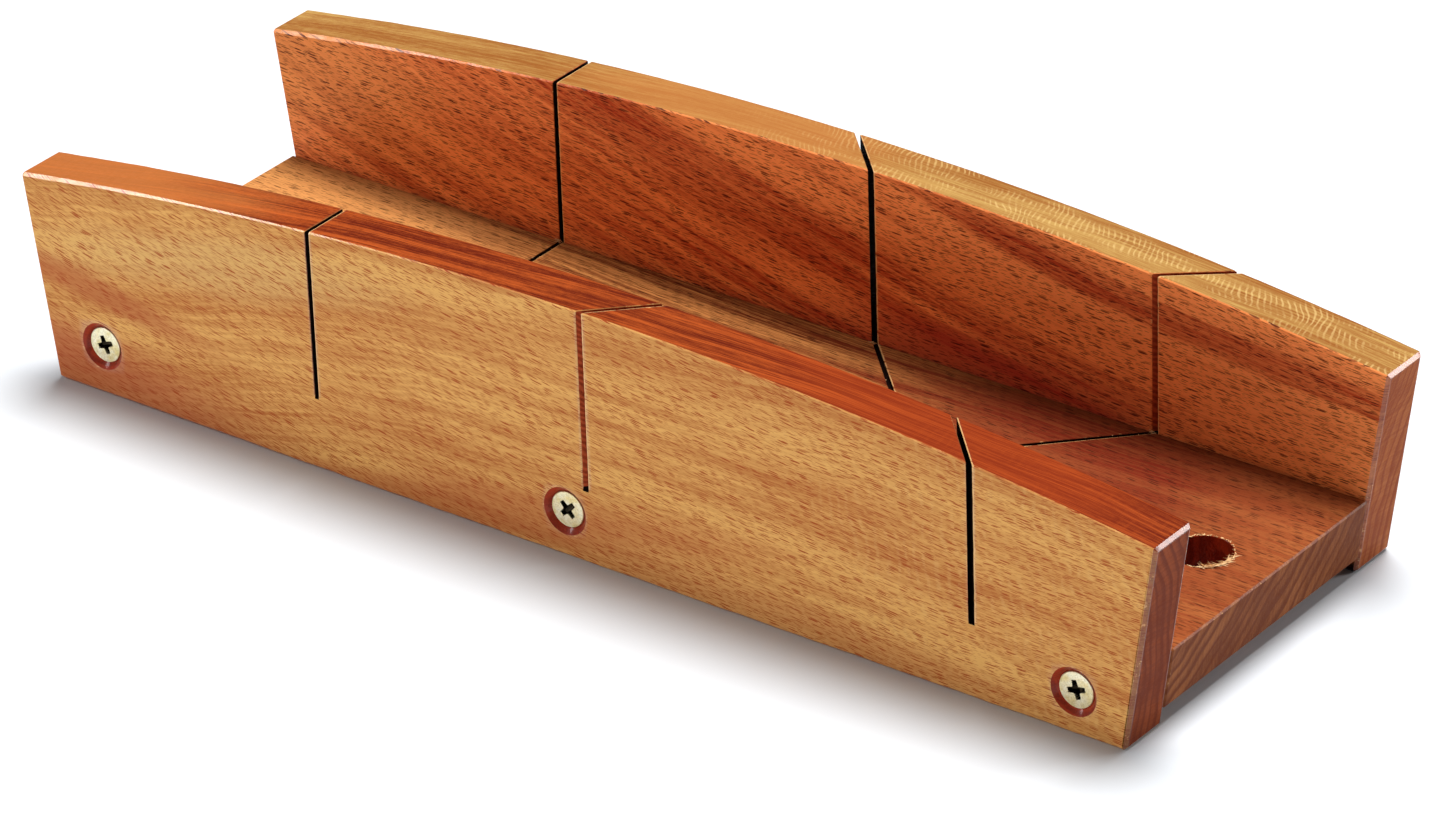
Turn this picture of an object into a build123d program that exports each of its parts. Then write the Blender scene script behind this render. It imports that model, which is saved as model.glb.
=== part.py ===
from build123d import *
import os

# Wooden mitre box: two arched beech walls screwed to the edges of a raised bed, with one square and
# two crossing 45 degree saw kerfs. Millimetres. X runs along the box, Y across it from the front wall
# to the back wall, Z up. The origin is at the middle of the box on the surface it stands on.

# Overall size
box_length = 300.0
box_width = 99.0
wall_thickness = 13.0
end_height = 49.2
middle_height = 60.3

# Both ends lean inwards towards the floor: how far the foot of each end lies inside its top
left_end_lean = 6.8
right_end_lean = 7.6

# Bed board, which hangs clear of the surface between the walls
bed_top = 18.5
bed_underside = 3.8
bed_width = box_width - 2 * wall_thickness

# Edge breaking
wall_corner_radius = 2.0
wall_edge_radius = 1.5
bed_edge_radius = 0.9

# Saw kerfs: the square cut's place, and where the two mitre cuts cross on the centre line
kerf_width = 1.05
kerf_depth_in_bed = 1.0
square_cut_x = -67.5
mitre_cross_x = 55.2
mitre_angle = 45.0
kerf_run = 2 * box_width

# Peg holes through the bed
peg_hole_radius = 6.5
peg_hole_x = 128.0

# Wood screws: a countersunk head with a cross recess
head_radius = 4.2
head_rim = 0.35
shank_radius = 2.1
shank_length = 11.5
screw_length = 30.0
thread_core_radius = 1.45
thread_pitch = 1.9
thread_crest = 0.2
tip_length = 4.0
recess_depth = 2.3
recess_span = 4.6
recess_floor_span = 2.4
recess_arm = 1.15
recess_floor_arm = 0.75

# Screw holes
countersink_radius = 5.5
countersink_angle = 90.0
shank_clearance = 0.15
thread_clearance = 0.03
seat_clearance = 0.02
head_sink = countersink_radius - head_radius - head_rim - seat_clearance

# Screw stations along the box: distance from the middle, height above the floor, and how far the
# cross recess of the front and of the back screw is turned
screw_stations = {
    "left": (-129.2, 12.0, 22.0, 64.0),
    "middle": (-0.2, 10.9, 43.0, 8.0),
    "right": (129.6, 9.9, 15.0, 37.0),
}
sides = {"front": -1, "back": 1}


def end_x(side, height):
    """X of the leaning end plane at a height: side -1 is the left end, 1 the right end."""
    lean = left_end_lean if side < 0 else right_end_lean
    return side * (box_length / 2 - lean * (end_height - height) / end_height)


def screw_plane(side, station):
    """Plane on a wall's outer face at a screw, with its Z pointing out of the wood."""
    x, height = screw_stations[station][:2]
    return Plane(origin=(x, side * box_width / 2, height), x_dir=(-side, 0, 0), z_dir=(0, side, 0))


def screw_seat(side, station):
    """Where a screw's head sits in its countersink, turned as that screw was driven."""
    front_turn, back_turn = screw_stations[station][2:]
    turn = front_turn if side < 0 else back_turn
    return screw_plane(side, station).offset(-head_sink).location * Rotation(0, 0, turn)


def cut_kerfs():
    """Saw the square cut and the two mitre cuts down to just below the top of the bed."""
    floor = bed_top - kerf_depth_in_bed
    cuts = [
        Location((square_cut_x, 0, floor), (0, 0, 0)),
        Location((mitre_cross_x, 0, floor), (0, 0, -mitre_angle)),
        Location((mitre_cross_x, 0, floor), (0, 0, mitre_angle)),
    ]
    with Locations(*cuts):
        Box(
            kerf_width,
            kerf_run,
            middle_height,
            align=(Align.CENTER, Align.CENTER, Align.MIN),
            mode=Mode.SUBTRACT,
        )


def save(piece, name):
    """Label a finished piece and write it as its own file."""
    piece.label = name
    export_step(piece, f"parts/{name}.step")
    print(f"{name}: {piece.volume / 1000:.2f} cm3")


os.makedirs("parts", exist_ok=True)

# Walls: an arched board with leaning ends, its corners and arrises rounded before it is sawn
for wall_name, side in sides.items():
    # The board is drawn on its +Y face and grows from there towards -Y
    drawn_face_y = box_width / 2 if side > 0 else wall_thickness - box_width / 2
    with BuildPart() as wall:
        with BuildSketch(Plane.XZ.offset(-drawn_face_y)):
            with BuildLine():
                Polyline(
                    (-box_length / 2, end_height),
                    (end_x(-1, 0), 0),
                    (end_x(1, 0), 0),
                    (box_length / 2, end_height),
                )
                ThreePointArc(
                    (box_length / 2, end_height),
                    (0, middle_height),
                    (-box_length / 2, end_height),
                )
            make_face()
            fillet(vertices(), radius=wall_corner_radius)
        extrude(amount=wall_thickness)
        fillet(faces().filter_by(Axis.Y).edges(), radius=wall_edge_radius)
        cut_kerfs()
        with Locations(*[screw_plane(side, station) for station in screw_stations]):
            CounterSinkHole(
                radius=shank_radius + shank_clearance,
                counter_sink_radius=countersink_radius,
                counter_sink_angle=countersink_angle,
            )
    save(wall.part, f"{wall_name}_wall")

# Bed board: its ends follow the leaning ends of the walls
with BuildPart() as base_board:
    with BuildSketch(Plane.XZ.offset(-bed_width / 2)):
        with BuildLine():
            Polyline(
                (end_x(-1, bed_top), bed_top),
                (end_x(-1, bed_underside), bed_underside),
                (end_x(1, bed_underside), bed_underside),
                (end_x(1, bed_top), bed_top),
                close=True,
            )
        make_face()
        fillet(vertices(), radius=bed_edge_radius)
    extrude(amount=bed_width)
    cut_kerfs()
    with Locations((-peg_hole_x, 0, bed_top), (peg_hole_x, 0, bed_top)):
        Hole(radius=peg_hole_radius)
    with Locations(*[screw_plane(side, station) for side in sides.values() for station in screw_stations]):
        Hole(radius=shank_radius + thread_clearance, depth=head_sink + screw_length + thread_clearance)
save(base_board.part, "base_board")

# One wood screw, drawn with its head at the origin, facing +Z. Its thread is drawn as rings.
thread_start = shank_length + head_rim
thread_end = screw_length - tip_length
ring_count = int((thread_end - thread_start) / thread_pitch)
ring_flank = (thread_pitch - thread_crest) / 2
profile = [
    (0, 0),
    (head_radius, 0),
    (head_radius, -head_rim),
    (shank_radius, -head_rim - (head_radius - shank_radius)),
    (shank_radius, -thread_start),
]
for ring in range(ring_count):
    ring_top = thread_start + ring * thread_pitch
    profile += [
        (thread_core_radius, -ring_top - ring_flank / 2),
        (thread_core_radius, -ring_top - ring_flank),
        (shank_radius, -ring_top - 1.5 * ring_flank),
        (shank_radius, -ring_top - 1.5 * ring_flank - thread_crest),
    ]
profile += [
    (thread_core_radius, -thread_end),
    (0, -screw_length),
]
with BuildPart() as wood_screw:
    with BuildSketch(Plane.XZ):
        with BuildLine():
            Polyline(*profile, close=True)
        make_face()
    revolve(axis=Axis.Z)
    # Cross recess, wide at its mouth and narrower at its floor
    for depth, span, arm in ((0, recess_span, recess_arm), (recess_depth, recess_floor_span, recess_floor_arm)):
        with BuildSketch(Plane.XY.offset(-depth)):
            Rectangle(span, arm)
            Rectangle(arm, span)
    loft(ruled=True, mode=Mode.SUBTRACT)

for wall_name, side in sides.items():
    for station in screw_stations:
        with BuildPart() as screw:
            with Locations(screw_seat(side, station)):
                add(wood_screw.part)
        save(screw.part, f"{wall_name}_screw_{station}")
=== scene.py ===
import math

import bmesh
import bpy
import numpy as np
from mathutils import Matrix, Vector


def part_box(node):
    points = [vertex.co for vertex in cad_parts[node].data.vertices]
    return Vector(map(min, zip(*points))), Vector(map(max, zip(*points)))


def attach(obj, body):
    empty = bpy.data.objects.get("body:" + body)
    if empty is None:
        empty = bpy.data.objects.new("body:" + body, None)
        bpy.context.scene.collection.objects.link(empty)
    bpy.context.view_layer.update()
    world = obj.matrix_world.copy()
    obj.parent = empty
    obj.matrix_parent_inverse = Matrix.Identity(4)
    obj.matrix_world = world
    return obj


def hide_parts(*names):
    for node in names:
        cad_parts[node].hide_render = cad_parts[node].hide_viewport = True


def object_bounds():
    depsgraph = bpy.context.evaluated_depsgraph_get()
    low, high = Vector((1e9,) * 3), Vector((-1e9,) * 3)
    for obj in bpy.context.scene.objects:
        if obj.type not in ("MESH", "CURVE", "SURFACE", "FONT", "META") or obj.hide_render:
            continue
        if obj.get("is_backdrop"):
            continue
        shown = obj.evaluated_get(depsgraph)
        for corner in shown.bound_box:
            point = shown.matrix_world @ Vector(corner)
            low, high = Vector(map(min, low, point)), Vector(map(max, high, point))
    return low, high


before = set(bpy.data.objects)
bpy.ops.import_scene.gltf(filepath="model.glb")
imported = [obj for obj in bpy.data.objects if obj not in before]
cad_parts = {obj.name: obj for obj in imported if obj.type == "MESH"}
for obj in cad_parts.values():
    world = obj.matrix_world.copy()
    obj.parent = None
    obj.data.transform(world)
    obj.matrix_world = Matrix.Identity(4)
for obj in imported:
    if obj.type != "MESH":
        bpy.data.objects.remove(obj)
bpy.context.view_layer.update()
print("frame loaded")

mm = 0.001

# Shared facts of the box, in millimetres: where the saw runs and how the ends lean
box = dict(
    squareCut=-67.5,  # x of the square kerf
    mitreCross=55.2,  # x where the two mitre kerfs cross on the centre line
    kerfWidth=1.05,
    kerfFloor=17.5,  # height of the bottom of every kerf
    halfLength=149.79,
    endHeight=49.2,  # height of the walls at their ends
    spacedAt=30.0,  # height at which the columns of every board are spaced
    narrow=0.6,  # edges fade out where a stretch of board is less wide than this
    footMost=1.1,  # the widest that the edge along a foot may be broken
    leftLean=6.8,  # how far the foot of an end lies inside its top
    rightLean=7.6,
    screwAt=dict(left=(-129.2, 12.0), middle=(-0.2, 10.9), right=(129.6, 9.9)),
    screwTurn=dict(  # turn of each cross recess: front screw, back screw
        left=(22.0, 64.0), middle=(43.0, 8.0), right=(15.0, 37.0)
    ),
    pegHole=128.0,
    pegRadius=6.5,
)


def smooth(t):
    # 0 to 1 with a level start and end
    t = np.clip(t, 0.0, 1.0)
    return t * t * (3 - 2 * t)


def wander(x, length, seed):
    # a smooth random line: five sine waves of falling length and height, each with its own phase
    dice = np.random.default_rng(seed)
    total = np.zeros_like(np.asarray(x, float))
    for step in range(5):
        total += np.sin(x * 2 * math.pi / length * 1.83**step + dice.uniform(0, 6.28)) * 0.66**step
    return total / 1.9


def gridFaces(shape, start=0, closed=False):
    # four-cornered faces over a grid of points numbered row by row, each from a point, its two neighbours and
    # the point across; closed joins the last column to the first
    ids = np.arange(shape[0] * shape[1]).reshape(shape) + start
    if closed:
        ids = np.concatenate([ids, ids[:, :1]], axis=1)
    return np.stack([ids[:-1, :-1], ids[1:, :-1], ids[1:, 1:], ids[:-1, 1:]], axis=-1)


def coonsPatch(left, right, bottom, top):
    # fills four border lines: the two side blends added up, less the blend of the four corners
    s = np.linspace(0, 1, len(bottom))[None, :, None]
    t = np.linspace(0, 1, len(left))[:, None, None]
    across = left[:, None] * (1 - s) + right[:, None] * s
    upward = bottom[None] * (1 - t) + top[None] * t
    corners = (bottom[0] * (1 - s) + bottom[-1] * s) * (1 - t) + (top[0] * (1 - s) + top[-1] * s) * t
    return across + upward - corners


class Blocks:
    # grids of points gathered into one mesh; the fourth number of a point says how worn its edge is
    def __init__(self):
        self.points, self.faces, self.kinds, self.count = [], [], [], 0

    def add(self, points, faces, kind=0):
        # kind 0 is planed and lacquered, 1 sawn, 2 bored, and on a screw 1 is the painted shade in its cross
        # recess; one number or one for each row of faces
        kind = np.broadcast_to(np.reshape(kind, (-1,) + (1,) * (faces.ndim - 2)), faces.shape[:-1])
        self.points.append(points.reshape(-1, 4))
        self.faces.append(faces.reshape(-1, faces.shape[-1]) + self.count)
        self.kinds.append(kind.reshape(-1))
        self.count += points.reshape(-1, 4).shape[0]

    def build(self, name, merge=0.002):
        # points closer than merge become one, and an edge sharper than 18 degrees is shaded as an edge
        points = np.concatenate(self.points)
        faces = np.concatenate(self.faces)
        mesh = bpy.data.meshes.new(name)
        mesh.from_pydata(points[:, :3] * mm, [], faces.tolist())
        worn = mesh.attributes.new("worn", "FLOAT", "POINT")
        worn.data.foreach_set("value", points[:, 3])
        mesh.polygons.foreach_set("material_index", np.concatenate(self.kinds).astype(np.int32))
        body = bmesh.new()
        body.from_mesh(mesh)
        bmesh.ops.remove_doubles(body, verts=body.verts, dist=merge * mm)
        bmesh.ops.dissolve_degenerate(body, edges=body.edges, dist=0.0005 * mm)
        loose = [edge for edge in body.edges if not edge.link_faces]
        bmesh.ops.delete(body, geom=loose, context="EDGES")
        bmesh.ops.recalc_face_normals(body, faces=body.faces)
        body.to_mesh(mesh)
        openEdges = sum(1 for e in body.edges if len(e.link_faces) != 2)
        body.free()
        mesh.polygons.foreach_set("use_smooth", np.ones(len(mesh.polygons), bool))
        mesh.set_sharp_from_angle(angle=math.radians(18))
        mesh.update()
        piece = bpy.data.objects.new(name, mesh)
        bpy.context.collection.objects.link(piece)
        print(f"{name}: {len(mesh.polygons)} faces, {openEdges} open or shared edges")
        return piece


def boardEnd(side, z):
    # x of a leaning end plane: half the length, less the lean times the share of the end height above z
    lean = box["leftLean"] if side < 0 else box["rightLean"]
    return side * (box["halfLength"] - lean * (box["endHeight"] - z) / box["endHeight"])


def sawStations(y, z):
    # x of every border between stretches, left to right: an end, the two sides of each kerf, an end; a mitre
    # kerf lies as far from the crossing as y is from the centre line
    half = box["kerfWidth"] / 2
    slant = half * math.sqrt(2)
    cross, away = box["mitreCross"], np.abs(y)
    return np.stack(np.broadcast_arrays(
        boardEnd(-1, z),
        box["squareCut"] - half,
        box["squareCut"] + half,
        cross - away - slant,
        np.minimum(cross - away + slant, cross),
        np.maximum(cross + away - slant, cross),
        cross + away + slant,
        boardEnd(1, z),
    ))


def boardColumns(cut):
    # the columns of a board: stretch, share of its length, shift in mm, inset of its edge, and whether it is
    # an eased kerf edge (1) or the column beside one (2); an end is rounded by four points of a quarter circle
    middle = (cut["outer"] + cut["inner"]) / 2 if cut["inner"] * cut["outer"] > 0 else cut["outer"] / 2
    marks = sawStations(np.array(middle), np.array(box["spacedAt"]))
    turn = np.radians([0, 14, 76, 90])
    rounding = cut["endArris"] * (1 - np.sin(turn)), cut["endArris"] * (1 - np.cos(turn))
    nick = cut["kerfArris"]
    columns = []
    for stretch in range(4):
        length = marks[2 * stretch + 1] - marks[2 * stretch]
        count = max(4, int(round(length / cut["step"])))
        inner = [(stretch, t, 0.0, 0.0, 0) for t in np.linspace(0, 1, count + 1)[1:-1]]
        if stretch == 0:
            first = [(0, 0.0, o, d, 0) for o, d in zip(rounding[0][::-1], rounding[1][::-1])]
        else:
            first = [(stretch, 0.0, 0.0, nick, 1), (stretch, 0.0, nick, 0.0, 2)]
        if stretch == 3:
            last = [(3, 1.0, -o, d, 0) for o, d in zip(*rounding)]
        else:
            last = [(stretch, 1.0, -nick, 0.0, 2), (stretch, 1.0, 0.0, nick, 1)]
        columns += first + inner + last
    return np.array(columns)


def boardLoop(cut):
    # once round the section, from the outer bottom corner up, across, down and back: for each point its
    # share across, its height step (0 foot, 1 kerf floor, 2 top) and the way it faces
    half = cut["arcSteps"] // 2
    low = np.linspace(0, 1, cut["lowRows"] + 1)
    up = 1 + np.linspace(0, 1, cut["upRows"] + 1)[1:]
    rise = np.concatenate([low, up])
    across = cut["across"]

    def arc(start, end, a, q):
        # half of a corner: a short rounding, then flat to the middle of the corner, or the other way round
        towards = 1 if start % 90 == 0 else -1
        turns = np.array([0, 12, 45]) if towards > 0 else np.array([45, 12, 0])
        flat = np.array([1, 1, 0.839])[::towards]
        turns = np.radians(start + (turns - turns[0]) * np.sign(end - start) * towards)
        return np.stack([np.full(3, a), np.full(3, q), np.cos(turns) * flat, np.sin(turns) * flat], 1)

    def line(a, q, ny, nz):
        a, q = np.broadcast_arrays(a, q)
        return np.stack([a, q, np.full(a.shape, ny), np.full(a.shape, nz)], 1)

    outer = [arc(225, 180, 0, 0), line(0.0, rise[1:-1], -1.0, 0.0), arc(180, 135, 0, 2)]
    top = [arc(135, 90, 0, 2)[1:], line(across[1:-1], 2.0, 0.0, 1.0), arc(90, 45, 1, 2)]
    inner = [arc(45, 0, 1, 2)[1:], line(1.0, rise[1:-1][::-1], 1.0, 0.0), arc(0, -45, 1, 0)]
    bottom = [arc(-45, -90, 1, 0)[1:], line(across[1:-1][::-1], 0.0, 0.0, -1.0), arc(-90, -135, 0, 0)[:-1]]
    sides = [np.concatenate(part) for part in (outer, top, inner, bottom)]
    ends = np.cumsum([len(part) for part in sides])
    return np.concatenate(sides), ends - 1  # the last point of outer, top and inner is a corner


def sawnBoard(name, cut):
    # x runs between the saw stations, the section is a rounded rectangle under the arched top line
    columns, (loop, corners) = boardColumns(cut), boardLoop(cut)
    stretch, share, shift, inset, edge = columns.T
    stretch = stretch.astype(int)
    side = 1 if cut["inner"] > cut["outer"] else -1
    across, rise, ny, nz = loop.T
    nCol, nRow = len(columns), len(loop)

    def place(y, z):
        # x of every column: its share of the way along its stretch, and its shift where the stretch has room
        marks = sawStations(y, z)
        station = (2 * stretch)[None, :, None] + np.zeros_like(y, int)[None]
        low, high = (np.take_along_axis(marks, station + far, 0)[0] for far in (0, 1))
        room = np.clip((high - low) / box["narrow"], 0, 1)
        return low + (high - low) * share[:, None] + shift[:, None] * room, room

    flat = np.zeros((nCol, nRow))
    rough = place(flat + (cut["outer"] + cut["inner"]) / 2, flat + box["spacedAt"])[0]
    radius = cut["arris"](rough) * (1 + cut["arrisWander"] * wander(rough, 23.0, cut["seed"]))
    radius = np.where(rise == 0, np.minimum(radius * cut["footArris"], box["footMost"]), radius)
    radius = np.maximum(radius, inset[:, None] + 0.02)
    yMid = cut["outer"] + side * radius + (cut["inner"] - cut["outer"] - 2 * side * radius) * across
    above = np.clip(rise - 1, 0, 1) > 0
    x, room = place(yMid, flat + cut["endHeight"])
    kerfEdge = (edge > 0)[:, None]
    for again in range(2):  # the second time on the lines that belong to the x found first
        topLine = cut["topLine"](x) - radius
        floorLine = cut["kerfFloor"] + cut["lift"](x)
        foot = cut["bottom"] + radius
        lower, upper = foot + (floorLine - foot) * rise, floorLine + (topLine - floorLine) * (rise - 1)
        zMid = np.where(rise <= 1, lower, upper)
        # an edge is eased where it is an end, or a kerf above its floor
        eased = inset[:, None] * np.where(kerfEdge, above * room, 1.0)
        y = yMid + (radius - eased) * ny * side
        z = zMid + (radius - eased) * nz
        x, room = place(y, z)
    # kerf edges are torn a little by the saw
    ragged = wander(z + y * 1.3, 1.6, cut["seed"] + 5) * 0.6 + wander(z + y, 5.0, cut["seed"] + 6) * 0.4
    ragged = np.maximum(cut["tear"] * ragged * above * room, 0)
    inward = np.where(share < 0.5, 1.0, -1.0) * np.where(edge == 1, 1.0, 0.8)
    x = x + np.where(kerfEdge, inward[:, None] * ragged, 0)
    # worn is 1 on arrises and eased edges, and 2 on the edge to the right of each kerf, whose pale colour is
    # partly torn fibre and partly a painted highlight
    arrisPoint = np.abs(ny * nz) > 0.02
    worn = np.maximum(arrisPoint[None, :] * 1.0, np.where(kerfEdge, above * 1.0, (inset > 0)[:, None] * 1.0))
    worn = np.where(kerfEdge & (share < 0.5)[:, None] & above, 2.0, worn)
    points = np.stack([x, y, z, worn], -1)

    # which faces of the big grid stay
    faces = gridFaces((nCol, nRow), closed=True)
    keep = np.ones(faces.shape[:2], bool)
    vOuterTop, vInnerTop, vInnerFoot = corners[0], corners[1], corners[2]
    half = cut["arcSteps"] // 2
    vFloorOuter = half + cut["lowRows"]
    vFloorInner = vInnerFoot - half - cut["lowRows"]
    kerfColumns = np.nonzero(stretch[1:] != stretch[:-1])[0]
    for k in kerfColumns:
        keep[k, vFloorOuter:vFloorInner] = False

    board = Blocks()
    # kerf floors and kerf sides
    acrossTop = slice(vOuterTop, vInnerTop + 1)
    for k in kerfColumns:
        floorEdges = []
        for column in (k, k + 1):
            yLine = points[column, acrossTop, 1].copy()
            yLine[0], yLine[-1] = cut["outer"], cut["inner"]
            marks = sawStations(yLine, np.full_like(yLine, cut["kerfFloor"]))
            xLine = marks[2 * stretch[column] + (1 if share[column] > 0.5 else 0)]
            line = np.stack([xLine, yLine, np.full_like(yLine, cut["kerfFloor"]), np.zeros_like(yLine)], 1)
            floorEdges.append(line)
            top = points[column, acrossTop]
            left = points[column, vFloorOuter : vOuterTop + 1]
            right = points[column, vInnerTop : vFloorInner + 1][::-1]
            kerfSide = coonsPatch(left, right, line, top)
            kerfSide[1:-1, 1:-1, 3] = 0
            quads = gridFaces(kerfSide.shape[:2])
            # where the mitre kerfs cross, the wood between them comes to a point
            pinched = (marks[5] - marks[4] < 1e-6) & bool(stretch[column] == 2)
            kerfSide[:, pinched, 0] = box["mitreCross"]
            quads = quads[:, ~(pinched[1:] & pinched[:-1])]
            board.add(kerfSide, quads, 1)
        floorStrip = np.stack(floorEdges)
        board.add(floorStrip, gridFaces(floorStrip.shape[:2]), 1)

    # end caps
    for column in (0, nCol - 1):
        ring = points[column]
        left = ring[: vOuterTop + 1]
        right = ring[vInnerTop : vInnerFoot + 1][::-1]
        bottom = np.concatenate([ring[vInnerFoot:], ring[:1]])[::-1]
        cap = coonsPatch(left, right, bottom, ring[acrossTop])
        cap[1:-1, 1:-1, 3] = 0
        board.add(cap, gridFaces(cap.shape[:2]))

    # bored holes: the border of an opening in one face, rings down the hole, the border in the other
    for hole in cut["holes"]:
        hx, hv, reach = hole["x"], hole["v"], hole["reach"]
        # level and deep say which coordinate runs up the face and which into it; a row of one face and the
        # row opposite it in the other add up to facing
        if hole["axis"] == "y":
            nearRows = np.arange(half, vOuterTop - half + 1)
            level, deep, facing = 2, 1, vInnerTop + vOuterTop
        else:
            nearRows = np.arange(vOuterTop + half, vInnerTop - half + 1)
            level, deep, facing = 1, 2, nRow + vOuterTop
        middleColumn = np.argmin(np.abs(points[:, nearRows[len(nearRows) // 2], 0] - hx))
        within = np.nonzero(np.abs(points[middleColumn, nearRows, level] - hv) < reach)[0]
        rowLow, rowHigh = nearRows[within[0] - 1], nearRows[within[-1] + 1]
        rowMid = (rowLow + rowHigh) // 2
        xs = points[:, rowMid, 0]
        colLow = np.nonzero(xs <= hx - reach)[0][-1]
        colHigh = np.nonzero(xs >= hx + reach)[0][0]
        keep[colLow:colHigh, rowLow:rowHigh] = False
        farLow, farHigh = facing - rowHigh, facing - rowLow
        farXs = points[:, facing - rowMid, 0]
        span = colHigh - colLow
        centres = (farXs[: nCol - span] + farXs[span:]) / 2
        farColLow = int(np.argmin(np.abs(centres - hx)))
        keep[farColLow : farColLow + span, farLow:farHigh] = False

        def border(c0, c1, r0, r1):
            # the opening's border as one closed line of points: along, up, back and down
            step = 1 if r1 > r0 else -1
            cols = np.concatenate([
                np.arange(c0, c1), np.full(abs(r1 - r0), c1),
                np.arange(c1, c0, -1), np.full(abs(r1 - r0), c0),
            ])
            rows = np.concatenate([
                np.full(c1 - c0, r0), np.arange(r0, r1, step),
                np.full(c1 - c0, r1), np.arange(r1, r0, -step),
            ])
            return points[cols, rows % nRow]

        nearRing = border(colLow, colHigh, rowLow, rowHigh)
        farRing = border(farColLow, farColLow + span, facing - rowLow, facing - rowHigh)
        rings = [nearRing]
        for ringRadius, depth, base in hole["rings"]:
            source = nearRing if base == 0 else farRing
            angle = np.arctan2(source[:, level] - hv, source[:, 0] - hx)
            ring = np.zeros_like(source)
            ring[:, 0] = hx + ringRadius * np.cos(angle)
            ring[:, level] = hv + ringRadius * np.sin(angle)
            ring[:, deep] = cut["outer"] + side * depth if deep == 1 else cut["top"] - depth
            ring[:, 3] = 1.0 if abs(ringRadius - hole["rings"][1][0]) < 0.3 and base == 0 else 0.0
            rings.append(ring)
        rings.append(farRing)
        tube = np.stack(rings)
        rows = np.arange(len(rings) - 1)
        bored = np.where((rows > 1) & (rows < len(rows) - 1), 2, 0)
        board.add(tube, gridFaces(tube.shape[:2], closed=True), bored)

    board.add(points, faces[keep])
    return board.build(name)


# two walls, under an arch that rises from the end height to the middle height
arch = dict(middleHeight=60.28, halfSpan=150.0)
arch["rise"] = arch["middleHeight"] - box["endHeight"]
arch["radius"] = (arch["halfSpan"] ** 2 + arch["rise"] ** 2) / (2 * arch["rise"])


def archLine(x):
    # height of the arched top edge: a circle through both end heights and the middle height
    x = np.clip(x, -arch["halfSpan"], arch["halfSpan"])
    return box["endHeight"] + arch["rise"] - arch["radius"] + np.sqrt(arch["radius"] ** 2 - x**2)


wall = dict(
    endHeight=box["endHeight"], bottom=0.0, kerfFloor=box["kerfFloor"], topLine=archLine,
    lift=lambda x: 1.7 * np.exp(-(((x + 129) / 15) ** 2)),  # rows bend up round the left-hand screw
    arris=lambda x: 0.34 + 0.6 * np.exp(-(((x + 150) / 45) ** 2)),  # broader towards the left end
    arrisWander=0.15,
    endArris=1.0, kerfArris=0.12, tear=0.10, footArris=2.4,
    lowRows=17, upRows=46, arcSteps=4, across=np.linspace(0, 1, 11), step=1.05,
)
# rings of a hole: radius, depth, and the face (0 near, 1 far) whose opening its points line up with
countersink = [
    (5.85, 0.0, 0), (5.62, 0.03, 0), (5.45, 0.15, 0), (4.7, 0.85, 0), (3.5, 2.05, 0), (2.3, 3.25, 0),
    (2.25, 3.6, 0), (2.25, 9.0, 0), (2.25, 13.0, 1),
]
pieces = {}
for side, nodeName, seed in ((-1, "front_wall", 11), (1, "back_wall", 29)):
    low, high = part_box(nodeName)
    outer, inner = (low[1], high[1]) if side < 0 else (high[1], low[1])
    cut = dict(wall, outer=outer / mm, inner=inner / mm, seed=seed, holes=[
        dict(axis="y", x=x, v=z, reach=6.25, rings=countersink) for x, z in box["screwAt"].values()
    ])
    pieces[nodeName] = sawnBoard(nodeName.replace("_", " ").title().replace(" ", ""), cut)

print("walls sawn")

# the bed, with a line of points along its middle, where the mitre kerfs cross
low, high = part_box("base_board")
yEdge = high[1] / mm
slant = box["kerfWidth"] / 2 * math.sqrt(2)
bedArris = 0.5
span = yEdge - bedArris
ys = np.concatenate([np.linspace(-span, -slant, 35), [0.0], np.linspace(slant, span, 35)])
bedTop, bedBottom = high[2] / mm, low[2] / mm
bed = dict(
    endHeight=18.0, bottom=bedBottom, kerfFloor=box["kerfFloor"], top=bedTop,
    topLine=lambda x: bedTop + 0 * x, lift=lambda x: 0 * x,
    arris=lambda x: bedArris + 0 * x, arrisWander=0.1, endArris=0.5, kerfArris=0.1, tear=0.1, footArris=1.0,
    lowRows=10, upRows=2, arcSteps=4, across=(ys + span) / (2 * span), step=1.05,
    outer=-yEdge, inner=yEdge, seed=47,
    holes=[dict(axis="z", x=s * box["pegHole"], v=0.0, reach=7.4, rings=[
        (6.9, 0.0, 0), (6.62, 0.04, 0), (6.5, 0.2, 0), (6.5, 2.0, 0), (6.5, 7.0, 0), (6.5, 12.0, 0),
        (6.5, 14.6, 1), (6.7, 14.7, 1),
    ]) for s in (-1, 1)],
)
pieces["base_board"] = sawnBoard("BedBoard", bed)
print("bed sawn")

# six countersunk wood screws
screwShape = dict(
    headRadius=4.2, rim=0.35, shank=2.1, shankEnd=11.85, core=1.45, crest=2.1, pitch=1.9,
    tipStart=26.0, length=30.0,
    recessReach=2.2, recessArm=0.72, recessHeart=1.5, recessDeep=2.3, recessWall=0.16,
    crown=0.006, turns=112, faceRings=34, threadRings=96,
)


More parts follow.
